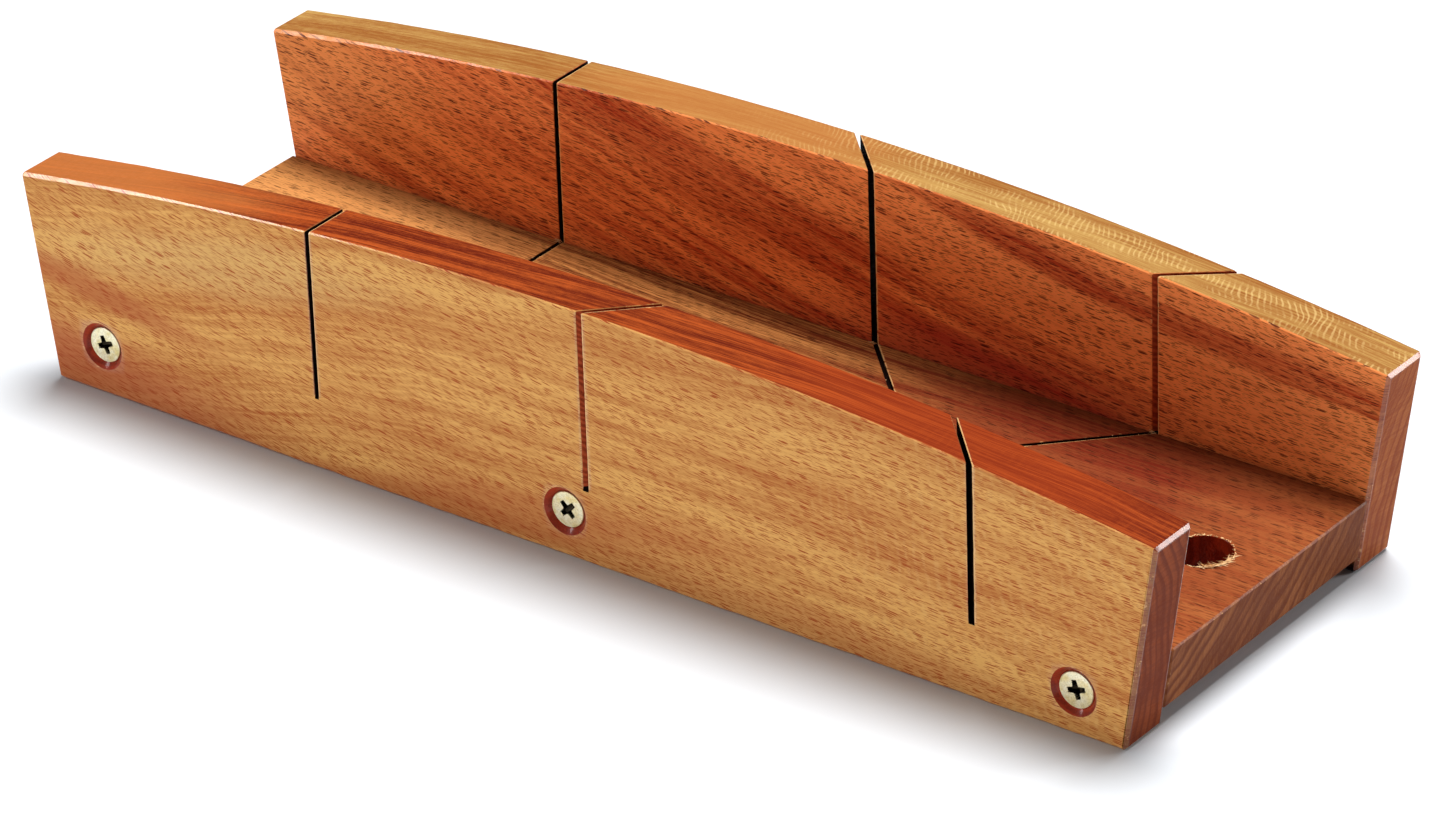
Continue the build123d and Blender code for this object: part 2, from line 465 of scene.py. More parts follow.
def screwPiece(name, cut, origin, side, turn):
    # rings of a profile from the middle of the head to the tip; the head sinks inside a cross, and the
    # thread radius is a ridge whose place moves one pitch for each turn
    count = cut["threadRings"]
    face = np.linspace(0, cut["headRadius"] - 0.2, cut["faceRings"])
    rimR = cut["headRadius"] - np.array([0.1, 0.03, 0.0, 0.0])
    rimH = -np.array([0.03, 0.1, 0.18, cut["rim"]])
    shankTop = -cut["rim"] - (cut["headRadius"] - cut["shank"])
    thread = -np.linspace(cut["shankEnd"], cut["length"] - 0.02, count)
    taper = np.clip((cut["length"] + thread) / (cut["length"] - cut["tipStart"]), 0, 1)
    radius = np.concatenate([face, rimR, [cut["shank"]] * 3, np.zeros(count)])
    height = np.concatenate([face * 0, rimH, [shankTop, shankTop - 3, -cut["shankEnd"] + 0.3], thread])
    angle = np.arange(cut["turns"]) * 2 * math.pi / cut["turns"]
    r, a = np.meshgrid(radius, angle, indexing="ij")
    h = np.broadcast_to(height[:, None], r.shape).copy()
    inThread = np.arange(len(radius)) >= len(radius) - count
    ridge = np.mod(-h / cut["pitch"] - a / (2 * math.pi), 1.0)
    ridge = np.clip(1 - np.abs(ridge - 0.5) * 3.4, 0, 1)
    start = np.clip((-h - cut["shankEnd"]) / 1.5, 0, 1)
    depth = np.broadcast_to(np.concatenate([np.ones(len(radius) - count), taper])[:, None], r.shape)
    body = cut["shank"] + (cut["core"] - cut["shank"]) * start
    threadR = (body + (cut["crest"] - body) * ridge) * np.sqrt(depth) * np.clip(depth * 3, 0, 1)
    r = np.where(inThread[:, None], threadR, r)
    # cross recess: how far a point lies inside one of the two arms sets its depth
    x, y = np.abs(r * np.cos(a)), np.abs(r * np.sin(a))
    arm = cut["recessArm"] * (1.12 - 0.16 * r)
    inside = np.maximum(
        np.minimum(cut["recessReach"] - x, arm - y), np.minimum(cut["recessReach"] - y, arm - x)
    )
    inside = np.maximum(inside, (cut["recessHeart"] - x - y) * 0.7)
    sunk = smooth(inside / cut["recessWall"]) * (cut["recessDeep"] - 0.55 * r)
    onFace = (np.arange(len(radius)) < len(face))[:, None]
    h = h - np.where(onFace, sunk + cut["crown"] * r**2, 0)
    c, s = math.cos(math.radians(turn)), math.sin(math.radians(turn))
    lx, ly = r * np.cos(a), r * np.sin(a)
    lx, ly = lx * c - ly * s, lx * s + ly * c
    points = np.stack([origin[0] - side * lx, origin[1] + side * h, origin[2] + ly, r * 0], -1)
    faces = gridFaces(points.shape[:2], closed=True)
    # faces sunk deep in the cross recess get the recess finish, which is painted shade
    dark = np.where(onFace, sunk > 0.25, False)
    kinds = (dark[:-1] | dark[1:]).astype(int)
    piece = Blocks()
    piece.add(points, faces.reshape(-1, 4), kinds)
    return piece.build(name, merge=0.004)


# torn fibres at the peg holes, the kerfs in the bed and the feet of the slots
torn = dict(
    rimCount=150, rimLength=(0.35, 0.9), burrCount=130, burrLength=(0.9, 2.6),
    bridges=36, bridgeLength=(0.3, 0.8), feet=12, feetLength=(0.6, 1.8), thick=0.14, seed=83,
)


def fibrePiece(name, roots, ways, lengths, cut):
    # each fibre is a tapered three-sided thread on a bent line: root + way * length * t + droop * t squared
    t = np.linspace(0, 1, 6)[None, :, None]
    bend = np.cross(ways, [0.3, 0.2, 1.0]) * 0.3 + np.array([0, 0, -0.12])
    middle = roots[:, None] + lengths[:, None, None] * (ways[:, None] * t + bend[:, None] * t**2)
    u = np.cross(ways, [0.13, 0.27, 1.0])
    u /= np.linalg.norm(u, axis=1)[:, None]
    v = np.cross(ways, u)
    width = cut["thick"] * np.array([0.0, 1.0, 0.9, 0.7, 0.4, 0.0])
    angle = np.arange(3) * 2 * math.pi / 3
    ring = np.cos(angle)[None, :, None] * u[:, None] + np.sin(angle)[None, :, None] * v[:, None] * 0.5
    points = middle[:, :, None] + width[None, :, None, None] * ring[:, None]
    ids = np.arange(points[..., 0].size).reshape(points.shape[:3])
    ids = np.concatenate([ids, ids[:, :, :1]], axis=2)
    faces = np.stack([ids[:, :-1, :-1], ids[:, 1:, :-1], ids[:, 1:, 1:], ids[:, :-1, 1:]], -1)
    piece = Blocks()
    piece.add(np.concatenate([points, points[..., :1] * 0], -1), faces.reshape(-1, 1, 4))
    return piece.build(name, merge=0.0006)


def unit(vectors):
    # each row divided by its own length
    return vectors / np.linalg.norm(vectors, axis=1)[:, None]


dice = np.random.default_rng(torn["seed"])
rimAngle = dice.uniform(0, 2 * math.pi, torn["rimCount"])
burrAngle = dice.normal(-0.45, 0.38, torn["burrCount"])
holeAngle = np.concatenate([rimAngle, burrAngle])
holeLength = np.concatenate([
    dice.uniform(*torn["rimLength"], torn["rimCount"]), dice.uniform(*torn["burrLength"], torn["burrCount"])
])
rimWay = np.stack([np.cos(holeAngle), np.sin(holeAngle), 0 * holeAngle], 1)
rimSpot = rimWay * (box["pegRadius"] + 0.12) + [0, 0, bedTop - 0.05]
sweep = np.cross([0, 0, 1.0], rimWay) * dice.choice([-1, 1], len(holeAngle))[:, None]
sweep = sweep * dice.uniform(0.5, 1, len(holeAngle))[:, None]
outward = rimWay * dice.normal(0.1, 0.35, len(holeAngle))[:, None]
upward = np.array([0, 0, 1.0]) * dice.uniform(0.1, 0.5, len(holeAngle))[:, None]
rimWay = unit(sweep + outward + upward)
fibrePieces = [
    fibrePiece(f"PegHoleFibres{label}", rimSpot + [at * box["pegHole"], 0, 0], rimWay, holeLength, torn)
    for label, at in (("Left", -1), ("Right", 1))
]
# short bridges over the kerfs in the bed
count = torn["bridges"]
bridgeY = dice.uniform(-34, 34, count)
kerfOf = dice.integers(0, 3, count)
half = box["kerfWidth"] / 2 * np.where(kerfOf == 0, 1, math.sqrt(2))
kerfX = np.choose(kerfOf, [
    box["squareCut"] + 0 * bridgeY, box["mitreCross"] - bridgeY, box["mitreCross"] + bridgeY,
])
sideOf = dice.choice([-1, 1], count)
bridgeSpot = np.stack([kerfX + sideOf * (half + 0.12), bridgeY, 0 * bridgeY + bedTop - 0.06], 1)
bridgeWay = unit(np.stack([
    -sideOf * dice.uniform(0.6, 1, count), dice.normal(0, 0.35, count), dice.uniform(0, 0.35, count),
], 1))
bridgeLength = dice.uniform(*torn["bridgeLength"], count)
fibrePieces.append(fibrePiece("BedKerfFibres", bridgeSpot, bridgeWay, bridgeLength, torn))
# splinters at the feet of the slots
footX = np.array([box["squareCut"] - 0.3, box["mitreCross"] - 36.5, box["mitreCross"] + 36.5])
footX = np.repeat(footX, torn["feet"]) + dice.normal(0, 0.35, 3 * torn["feet"])
count = len(footX)
footSpot = np.stack([footX, 0 * footX + 36.4, 0 * footX + bedTop + dice.uniform(-0.4, 0.3, count)], 1)
footWay = unit(np.stack([
    dice.uniform(-0.7, 0.2, count), dice.uniform(-1, -0.4, count), dice.uniform(0, 0.5, count),
], 1))
footLength = dice.uniform(*torn["feetLength"], count)
fibrePieces.append(fibrePiece("SlotFootFibres", footSpot, footWay, footLength, torn))
for piece in fibrePieces:
    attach(piece, "root")
print("fibres torn")

screws = {}
for side, wallName in ((-1, "front"), (1, "back")):
    for station, turns in box["screwTurn"].items():
        nodeName = f"{wallName}_screw_{station}"
        low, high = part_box(nodeName)
        face = low[1] if side < 0 else high[1]
        origin = np.array([(low[0] + high[0]) / 2, face, (low[2] + high[2]) / 2]) / mm
        turn = turns[0] if side < 0 else turns[1]
        pieceName = f"{wallName.title()}Screw{station.title()}"
        screws[nodeName] = screwPiece(pieceName, screwShape, origin, side, turn)

for nodeName, piece in (*screws.items(), *pieces.items()):
    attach(piece, "root")
    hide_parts(nodeName)
print("screws driven")


class Wiring:
    # short ways to put and join shader nodes
    def __init__(self, tree):
        self.tree = tree

    def feed(self, node, values):
        # a socket given as a value is linked, anything else is set
        for key, value in values.items():
            if isinstance(value, bpy.types.NodeSocket):
                self.tree.links.new(value, node.inputs[key])
            else:
                node.inputs[key].default_value = value
        return node

    def put(self, kind, values=None, **settings):
        # a new node with its settings and its inputs
        node = self.tree.nodes.new(kind)
        for key, value in settings.items():
            setattr(node, key, value)
        return self.feed(node, values or {})

    def maths(self, operation, *values, clamp=False):
        # one sum of numbers, held between 0 and 1 if clamp is set
        inputs = dict(enumerate(values))
        return self.put("ShaderNodeMath", inputs, operation=operation, use_clamp=clamp).outputs[0]

    def times(self, a, b):
        # a times b
        return self.maths("MULTIPLY", a, b)

    def timesPlus(self, a, b, c):
        # a times b, plus c
        return self.maths("MULTIPLY_ADD", a, b, c)

    def plus(self, a, b):
        # a plus b
        return self.maths("ADD", a, b)

    def minus(self, a, b, clamp=False):
        # a less b
        return self.maths("SUBTRACT", a, b, clamp=clamp)

    def over(self, a, b):
        # a divided by b
        return self.maths("DIVIDE", a, b)

    def vector(self, operation, *values):
        # one sum of vectors, part by part
        return self.put("ShaderNodeVectorMath", dict(enumerate(values)), operation=operation).outputs[0]

    def stretched(self, vector, shares):
        # each part of a vector times its own share
        return self.vector("MULTIPLY", vector, shares)

    def split(self, vector):
        # the three parts of a vector
        return self.put("ShaderNodeSeparateXYZ", {0: vector}).outputs

    def join(self, x, y, z):
        # a vector of three parts
        return self.put("ShaderNodeCombineXYZ", {0: x, 1: y, 2: z}).outputs[0]

    def step(self, value, low, high, out0=0.0, out1=1.0):
        # eased step from out0 at low to out1 at high
        values = {0: value, 1: low, 2: high, 3: out0, 4: out1}
        return self.put("ShaderNodeMapRange", values, interpolation_type="SMOOTHSTEP").outputs[0]

    def noise(self, vector, detail=2.0, rough=0.5):
        # smooth noise of about 0 to 1, one swell to each unit of the vector
        values = {"Vector": vector, "Scale": 1.0, "Detail": detail, "Roughness": rough}
        return self.put("ShaderNodeTexNoise", values).outputs[0]

    def mix(self, share, a, b):
        # colour a times what is left of share, plus colour b times share
        node = self.put("ShaderNodeMix", data_type="RGBA", clamp_factor=True)
        a, b = ((*colour, 1.0) if isinstance(colour, tuple) else colour for colour in (a, b))
        return self.feed(node, {0: share, 6: a, 7: b}).outputs[2]

    def group(self, kind, **values):
        # one use of a shader node group
        return self.feed(self.put("ShaderNodeGroup", node_tree=kind), values).outputs


def makeGroup(name, inputs, outputs, build):
    # a shader node group with named sockets, filled by build(wiring, inputs) giving its outputs in order
    tree = bpy.data.node_groups.new(name, "ShaderNodeTree")
    for label, value in inputs.items():
        kind = "NodeSocketVector" if value is None else "NodeSocketFloat"
        socket = tree.interface.new_socket(label, in_out="INPUT", socket_type=kind)
        if value is not None:
            socket.default_value = value
    for label in outputs:
        tree.interface.new_socket(label, in_out="OUTPUT", socket_type="NodeSocketFloat")
    wire = Wiring(tree)
    given = tree.nodes.new("NodeGroupInput").outputs
    results = build(wire, given)
    out = tree.nodes.new("NodeGroupOutput")
    for socket, result in zip(out.inputs, results):
        tree.links.new(result, socket)
    return tree


def buildRings(w, given):
    # distance from a slightly tilted heart line, swayed by slow noise, counts the growth rings: a tone ring
    # by ring and the thin late line of each ring
    x, y, z = w.split(given["Place"])
    sway = w.noise(w.stretched(given["Place"], (0.012, 0.05, 0.05)), 2.0)
    sway = w.times(w.minus(sway, 0.5), given["Sway"])
    dy = w.minus(w.minus(y, given["HeartY"]), w.times(x, given["Tilt"]))
    dz = w.minus(z, given["HeartZ"])
    reach = w.maths("SQRT", w.plus(w.times(dy, dy), w.times(dz, dz)))
    reach = w.plus(reach, sway)
    count = w.over(reach, given["Step"])
    tone = w.noise(w.join(count, 0.0, 0.0), 3.0, 0.6)
    saw = w.maths("FRACT", count)
    late = w.times(w.step(saw, 0.55, 0.95), w.step(saw, 1.0, 0.95))
    return w.step(tone, 0.25, 0.75), late


def buildFigure(w, given):
    # long bands: the height above a bowed, fanned grain line, swayed by slow noise, picks a tone
    x = w.split(given["Place"])[0]
    bow = w.times(x, w.timesPlus(x, given["Curve"], given["Slope"]))
    fan = w.timesPlus(w.plus(x, 150.0), given["Fan"], 1.0)
    sway = w.noise(w.stretched(given["Place"], (0.011, 0.035, 0.035)), 2.0)
    sway = w.times(sway, given["Sway"])
    level = w.timesPlus(w.minus(given["Across"], bow), fan, sway)
    level = w.over(level, given["Step"])
    slow = w.times(x, 0.004)
    bands = w.noise(w.join(level, slow, given["Seed"]), 2.0, 0.45)
    lines = w.noise(w.join(w.times(level, 4.3), w.times(x, 0.012), given["Seed"]), 4.0, 0.6)
    thin = w.noise(w.join(w.times(level, 15.0), w.times(x, 0.03), given["Seed"]), 3.0, 0.7)
    return w.step(bands, 0.3, 0.7), w.step(lines, 0.3, 0.7), w.step(thin, 0.35, 0.65)


def buildRipple(w, given):
    # narrow ripples across the grain, their spacing and strength broken by noise
    x, y, z = w.split(given["Place"])
    sway = w.noise(w.stretched(given["Place"], (0.10, 0.12, 0.12)), 2.0)
    run = w.plus(x, w.times(w.plus(z, y), given["Lean"]))
    run = w.timesPlus(sway, 5.0, run)
    wave = w.maths("SINE", w.times(w.over(run, given["Step"]), 2 * math.pi))
    part = w.noise(w.stretched(given["Place"], (0.06, 0.3, 0.3)), 2.0)
    return [w.times(w.step(wave, 0.1, 1.0), w.step(part, 0.4, 0.65))]


def buildRays(w, given):
    # spindle flecks: stretched random cells on the face, dark inside a radius that differs from cell to
    # cell, in a coarse and a finer layer
    x, y, z = w.split(given["Place"])
    run = w.over(w.timesPlus(w.plus(y, z), given["Shift"], x), given["Length"])
    rise = w.over(given["Across"], given["Height"])
    masks, tints = [], []
    for size, seed in ((1.0, 0.0), (1.55, 31.7)):
        place = w.join(w.timesPlus(run, size, seed), w.timesPlus(rise, size, seed), 0.0)
        values = {"Vector": place, "Scale": 1.0, "Randomness": 1.0}
        cells = w.put("ShaderNodeTexVoronoi", values, voronoi_dimensions="2D")
        tint = w.split(cells.outputs["Color"])
        radius = w.times(given["Size"], w.step(tint[0], 0.0, 1.0, 0.35, 1.3))
        masks.append(w.step(w.minus(radius, cells.outputs["Distance"]), -0.02, 0.09))
        tints.append(tint[1])
    return w.maths("MAXIMUM", masks[0], w.times(masks[1], 0.75)), tints[0]


def buildFibre(w, given):
    # fine and very fine streaks along the grain, and a broken cloud of tone
    fine = w.noise(w.stretched(given["Place"], (0.06, 1.9, 1.9)), 4.0, 0.65)
    hair = w.noise(w.stretched(given["Place"], (0.35, 7.0, 7.0)), 2.0, 0.6)
    cloud = w.noise(w.stretched(given["Place"], (0.022, 0.09, 0.09)), 2.0, 0.5)
    return w.step(fine, 0.25, 0.75), w.step(hair, 0.25, 0.75), w.step(cloud, 0.3, 0.7)


def buildPatch(w, given):
    # a soft-edged oval: distance from its middle in its own turned and stretched frame, roughened by noise
    away = w.split(w.vector("SUBTRACT", given["Place"], given["Middle"]))
    x, z = away[0], away[2]
    c, s = w.maths("COSINE", given["Turn"]), w.maths("SINE", given["Turn"])
    along = w.plus(w.times(x, c), w.times(z, s))
    across = w.minus(w.times(z, c), w.times(x, s))
    along = w.over(along, given["Long"])
    across = w.over(across, given["Wide"])
    rough = w.noise(w.stretched(given["Place"], (0.02, 0.12, 0.12)), 3.0, 0.55)
    far = w.maths("SQRT", w.plus(w.times(along, along), w.times(across, across)))
    far = w.plus(far, w.times(w.minus(rough, 0.5), 0.8))
    return [w.step(far, 1.15, 0.35)]


rings = makeGroup(
    "growthRings", {"Place": None, "HeartY": 60.0, "HeartZ": 20.0, "Tilt": 0.03, "Step": 2.2, "Sway": 6.0},
    ("Tone", "Late"), buildRings,
)
figure = makeGroup(
    "grainFigure",
    {
        "Place": None, "Across": 0.0, "Slope": 0.1, "Curve": 0.0, "Fan": 0.0, "Step": 9.0, "Sway": 12.0,
        "Seed": 0.0,
    },
    ("Bands", "Lines", "Thin"), buildFigure,
)
ripple = makeGroup("crossRipple", {"Place": None, "Step": 2.6, "Lean": 0.15}, ("Ripple",), buildRipple)
rays = makeGroup(
    "rayFlecks",
    {"Place": None, "Across": 0.0, "Length": 4.4, "Height": 0.8, "Size": 0.3, "Shift": 0.0},
    ("Mask", "Tint"), buildRays,
)
fibre = makeGroup("woodFibre", {"Place": None}, ("Fine", "Hair", "Cloud"), buildFibre)
patch = makeGroup(
    "softPatch", {"Place": None, "Middle": None, "Turn": 0.0, "Long": 40.0, "Wide": 8.0},
    ("Mask",), buildPatch,
)


def srgb(r, g, b):
    # a screen colour 0-255 as linear light: a straight line near black, and a power curve above it
    shares = (r / 255, g / 255, b / 255)
    return tuple(c / 12.92 if c <= 0.04045 else ((c + 0.055) / 1.055) ** 2.4 for c in shares)


def startMaterial(name):
    # a new material with its wiring and shader, the place on the object in millimetres and the normal there
    material = bpy.data.materials.new(name)
    material.use_nodes = True
    w = Wiring(material.node_tree)
    coordinates = w.put("ShaderNodeTexCoord").outputs
    place = w.stretched(coordinates["Object"], (1000.0, 1000.0, 1000.0))
    return material, w, material.node_tree.nodes["Principled BSDF"], place, coordinates["Normal"]


def beech(name, look):
    # lacquered beech: on each face a weighed sum of grain, rings and fibre, less a fixed share, is a tone
    # from pale to deep, with patches, ripples, flecks and worn edges laid over it
    material, w, shader, place, normal = startMaterial(name)
    x, y, z = w.split(place)
    nx, ny, nz = w.split(normal)
    upright = look["lies"] == "upright"
    # the grain runs down or up along the board: its height shifts with a smooth curve of x
    bow = w.times(x, look["slope"])
    curve = w.times(w.times(x, x), look["curve"])
    wave = w.noise(w.stretched(place, (0.014, 0.014, 0.014)), 1.0)
    lift = w.plus(w.plus(bow, curve), w.times(wave, look["wave"]))
    lifted = w.plus(z if upright else y, lift)
    grain = w.join(x, y, lifted) if upright else w.join(x, lifted, z)
    ring = w.group(rings, Place=grain, **look["rings"])
    ray = w.group(rays, Place=place, Across=lifted, **look["rays"])
    streak = w.group(fibre, Place=grain)

    faceColours = {}
    for face, tones in look["faces"].items():
        across = z if upright and face != "top" else y
        bands = w.group(figure, Place=place, Across=across, **tones.get("figure", look["figure"]))
        sources = dict(
            bands=bands["Bands"], lines=bands["Lines"], thin=bands["Thin"], ring=ring["Tone"],
            fine=streak["Fine"], cloud=streak["Cloud"], hair=streak["Hair"], late=ring["Late"],
        )
        tone = 0.0
        for key, source in sources.items():
            if key in tones:
                tone = w.timesPlus(source, tones[key], tone)
        tone = w.minus(tone, tones["less"], clamp=True)
        colour = w.mix(tone, srgb(*tones["pale"]), srgb(*tones["deep"]))
        for spot in tones.get("patches", []):
            mask = w.group(
                patch, Place=place, Middle=spot["middle"], Turn=math.radians(spot["turn"]),
                Long=spot["long"], Wide=spot["wide"],
            )["Mask"]
            colour = w.mix(w.times(mask, spot["strength"]), colour, srgb(*spot["colour"]))
        if "ripple" in tones:
            cross = tones["ripple"]
            mask = w.group(ripple, Place=place, Step=cross["step"], Lean=cross["lean"])["Ripple"]
            mask = w.times(mask, w.step(x, *cross["between"]))
            colour = w.mix(w.times(mask, cross["strength"]), colour, srgb(*cross["colour"]))
        if "fleck" in tones:
            flecks = w.step(ray["Tint"], 0.0, 1.0, tones["fleckLow"], tones["fleck"])
            colour = w.mix(w.times(ray["Mask"], flecks), colour, srgb(*tones["fleckColour"]))
        faceColours[face] = colour
    colour = faceColours["front"]
    if "back" in faceColours:
        colour = w.mix(w.step(ny, 0.3, 0.7), colour, faceColours["back"])
    if "top" in faceColours:
        colour = w.mix(w.step(nz, 0.72, 0.95), colour, faceColours["top"])
    colour = w.mix(w.step(w.maths("ABSOLUTE", nx), 0.5, 0.8), colour, faceColours["end"])

    # edges are polished by handling, with a few pale nicks
    worn = w.put("ShaderNodeAttribute", attribute_name="worn").outputs["Fac"]
    chip = w.noise(w.stretched(place, (0.28, 0.8, 0.8)), 3.0, 0.7)
    nick = w.times(w.step(worn, 0.7, 1.0), w.step(chip, look["wearFrom"], look["wearFrom"] + 0.08))
    colour = w.mix(w.times(nick, look["wear"]), colour, srgb(*look["wearColour"]))
    # the edge to the right of each kerf is made pale: partly torn fibre, partly a painted highlight where that
    # edge catches the light
    torn = w.times(w.step(worn, 1.45, 1.85), w.step(chip, 0.36, 0.46))
    colour = w.mix(w.times(torn, look["torn"]), colour, srgb(*look["tornAndHighlightColour"]))
    rough = w.timesPlus(streak["Fine"], 0.12, look["rough"])
    rough = w.timesPlus(ray["Mask"], 0.10, rough)
    rough = w.timesPlus(w.step(worn, 0.5, 1.0), -0.16, rough)
    height = w.timesPlus(ray["Mask"], -0.5, w.times(streak["Hair"], 0.35))
    height = w.timesPlus(streak["Fine"], 0.5, height)
    bump = w.put("ShaderNodeBump", {"Strength": look["bump"], "Distance": 0.0004, "Height": height})
    w.feed(shader, {
        "Base Color": colour, "Roughness": rough, "Normal": bump.outputs[0],
        "Coat Weight": w.step(worn, 0.4, 1.0, look["coat"], look["edgeCoat"]),
        "Coat Roughness": look["coatRough"], "Specular IOR Level": look["gloss"],
    })
    return material


def rawWood(name, look):
    # wood without its lacquered face: a sine of the place across the grain draws saw lines or drill rings,
    # and fine specks break them up
    material, w, shader, place, normal = startMaterial(name)
    x, y, z = w.split(place)
    streak = w.group(fibre, Place=place)
    lines = w.timesPlus(z, look["lineZ"], w.times(y, look["lineY"]))
    lines = w.timesPlus(streak["Cloud"], 1.5, lines)
    lines = w.step(w.maths("SINE", w.times(lines, 2 * math.pi / look["lineStep"])), -0.6, 0.9)
    speck = w.noise(w.stretched(place, (2.2, 2.2, 2.2)), 2.0, 0.7)
    tone = w.timesPlus(lines, look["lineTone"], w.times(speck, 1 - look["lineTone"]))
    colour = w.mix(tone, srgb(*look["deep"]), srgb(*look["pale"]))
    if "slotShade" in look:
        # painted shade: the cuts in the bed, and in the walls every cut but the one that runs from the front
        # left to the back right, are coloured near black as if in shade; that one cut keeps its sawn colour
        # above the bed
        nx, ny, nz = w.split(normal)
        unshadedSlotWall = w.step(w.times(nx, ny), -0.2, -0.45)
        unshadedSlotWall = w.times(unshadedSlotWall, w.step(z, bedTop - 0.1, bedTop + 0.1))
        colour = w.mix(unshadedSlotWall, srgb(*look["slotShade"]), colour)
    bump = w.put("ShaderNodeBump", {"Strength": look["bump"], "Distance": 0.0003, "Height": tone})
    w.feed(shader, {
        "Base Color": colour, "Roughness": w.timesPlus(speck, 0.2, look["rough"]),
        "Normal": bump.outputs[0], "Coat Weight": look["coat"], "Coat Roughness": 0.15,
        "Specular IOR Level": look["gloss"],
    })
    return material


finish = dict(
    wearFrom=0.6, wear=0.6, wearColour=(226, 170, 110), rough=0.42, bump=0.12,
    coat=0.03, edgeCoat=0.9, coatRough=0.16, gloss=0.03, torn=0.75, tornAndHighlightColour=(236, 190, 128),
)
# the last colour of the sawn look is painted shade, the near black laid on cut walls that lie in shade
sawnLook = dict(
    pale=(206, 92, 52), deep=(116, 36, 18), lineZ=0.8, lineY=0.6, lineStep=1.15, lineTone=0.4,
    rough=0.75, bump=0.5, coat=0.0, gloss=0.06, slotShade=(22, 9, 6),
)
boredLook = dict(
    pale=(184, 62, 28), deep=(96, 22, 9), lineZ=0.0, lineY=0.4, lineStep=0.9, lineTone=0.3,
    rough=0.3, bump=0.45, coat=0.3, gloss=0.12,
)
endGrain = dict(
    pale=(170, 84, 40), deep=(114, 46, 19), bands=0.1, lines=0.1, thin=0.2, ring=0.6, fine=0.1, cloud=0.2,
    hair=0.25, late=0.5, less=0.0,
)
frontLook = dict(
    finish, lies="upright", slope=0.14, curve=-0.00040, wave=5.0,
    figure=dict(Slope=0.07, Curve=-0.0006, Fan=0.0, Step=9.0, Sway=14.0, Seed=3.1),
    rings=dict(HeartY=-130.0, HeartZ=22.0, Tilt=0.05, Step=2.4, Sway=7.0),
    rays=dict(Length=4.3, Height=0.42, Size=0.27, Shift=0.7),
    faces=dict(
        front=dict(
            pale=(222, 168, 96), deep=(174, 98, 48), fleckColour=(160, 66, 30), fleck=1.0, fleckLow=0.55,
            bands=0.45, lines=0.35, thin=0.3, fine=0.25, cloud=0.2, hair=0.1, less=0.52,
            ripple=dict(step=2.6, lean=0.1, between=(40, 90), strength=0.22, colour=(222, 178, 112)),
            patches=[
                dict(middle=(-140, -49.5, 4), turn=-4, long=75, wide=16, colour=(178, 92, 60), strength=0.75),
                dict(middle=(-138, -49.5, 27), turn=-9, long=46, wide=5, colour=(178, 98, 58), strength=0.7),
                dict(middle=(-20, -49.5, 5), turn=9, long=80, wide=8, colour=(176, 92, 52), strength=0.6),
                dict(middle=(-95, -49.5, 42), turn=10, long=60, wide=9, colour=(214, 172, 108), strength=0.6),
                dict(middle=(60, -49.5, 3), turn=0, long=70, wide=7, colour=(176, 98, 58), strength=0.35),
            ],
        ),
        top=dict(
            pale=(172, 78, 30), deep=(90, 24, 8),
            figure=dict(Slope=0.06, Curve=0.0, Fan=0.0, Step=3.2, Sway=8.0, Seed=1.7),
            bands=0.5, lines=0.5, thin=0.7, fine=0.45, cloud=0.25, hair=0.2, less=0.66,
            ripple=dict(step=2.2, lean=0.0, between=(60, 110), strength=0.25, colour=(150, 60, 20)),
            patches=[
                dict(middle=(-135, -43, 52), turn=8, long=55, wide=12, colour=(180, 108, 54), strength=0.7),
                dict(middle=(100, -43, 56), turn=0, long=60, wide=14, colour=(144, 50, 16), strength=0.5),
            ],
        ),
        end=dict(endGrain),
    ),
)
frontLook["faces"]["back"] = dict(frontLook["faces"]["front"])
backLook = dict(
    finish, lies="upright", slope=0.05, curve=0.0, wave=6.0,
    figure=dict(Slope=-0.22, Curve=0.0006, Fan=0.0012, Step=8.5, Sway=10.0, Seed=8.4),
    rings=dict(HeartY=140.0, HeartZ=14.0, Tilt=-0.05, Step=2.4, Sway=8.0),
    rays=dict(Length=4.4, Height=0.54, Size=0.26, Shift=0.7),
    faces=dict(
        front=dict(
            pale=(250, 150, 84), deep=(174, 65, 34), fleckColour=(70, 20, 14), fleck=0.95, fleckLow=0.5,
            bands=0.75, lines=0.35, thin=0.35, fine=0.25, cloud=0.2, hair=0.1, less=0.62,
            patches=[
                # painted light: the inner face is made paler towards its upper left end, where it catches more
                # light
                dict(middle=(-150, 36.5, 45), turn=-4, long=70, wide=22, colour=(216, 142, 76), strength=0.55),
                # painted shade: a near-black band along the foot of the inner face, where it lies in shade
                # under the bed
                dict(middle=(150, 36.5, 0), turn=0, long=150, wide=5, colour=(26, 10, 7), strength=1.0),
                # painted shade: darker and redder low in the middle of the inner face, where the front wall
                # shades it
                dict(middle=(45, 36.5, 20), turn=0, long=60, wide=11, colour=(164, 44, 42), strength=0.7),
            ],
        ),
        top=dict(
            pale=(180, 142, 80), deep=(140, 84, 36),
            figure=dict(Slope=0.02, Curve=0.0, Fan=0.0, Step=3.0, Sway=9.0, Seed=5.2),
            bands=0.5, lines=0.4, thin=0.4, fine=0.5, cloud=0.3, hair=0.25, less=0.62,
            ripple=dict(step=1.35, lean=0.45, between=(-30, 40), strength=0.4, colour=(226, 194, 130)),
            patches=[
                dict(middle=(-20, 43, 60), turn=0, long=52, wide=14, colour=(176, 112, 58), strength=0.6),
            ],
        ),
        end=dict(endGrain, pale=(204, 124, 68), deep=(146, 70, 36)),
    ),
)
backLook["faces"]["back"] = dict(
    backLook["faces"]["front"], pale=(206, 134, 76), deep=(168, 88, 44), patches=[]
)
